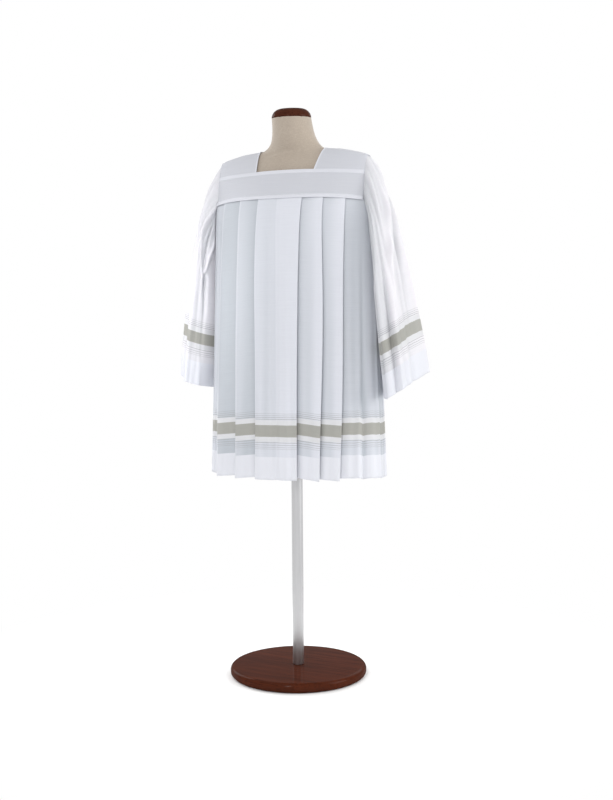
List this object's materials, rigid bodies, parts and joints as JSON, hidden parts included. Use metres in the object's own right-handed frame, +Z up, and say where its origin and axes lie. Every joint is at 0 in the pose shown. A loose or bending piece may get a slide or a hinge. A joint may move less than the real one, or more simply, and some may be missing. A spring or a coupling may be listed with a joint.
{
  "type": "surplice on dress form",
  "caption": "White surplice with a square neck, pleated body and wide sleeves, worn by a limbless dress form with a pole and a round wooden base.",
  "frame": {"origin": "centre of the underside of the round base, on the floor", "axes": "+Z up along the pole, -Y the way the wearer faces, +X the wearer's left"},
  "size_m": [0.731, 0.39, 1.5983],
  "materials": {
    "surplice_cloth": "fine plain-woven white cloth, semi-sheer, with woven satin and grey stripes above the hem and cuffs",
    "form_linen": "tight beige linen cover",
    "form_wood": "dark red-brown wood, polished",
    "form_pole": "satin steel tube"
  },
  "bodies": {
    "root": {"front_body": "surplice_cloth", "back_body": "surplice_cloth", "front_yoke": "surplice_cloth", "back_yoke": "surplice_cloth", "shoulder_left": "surplice_cloth", "shoulder_right": "surplice_cloth", "sleeve_left": "surplice_cloth", "sleeve_right": "surplice_cloth", "form_torso": "form_linen", "neck_cap": "form_wood", "pole": "form_pole", "base": "form_wood"}
  },
  "joints": []
}
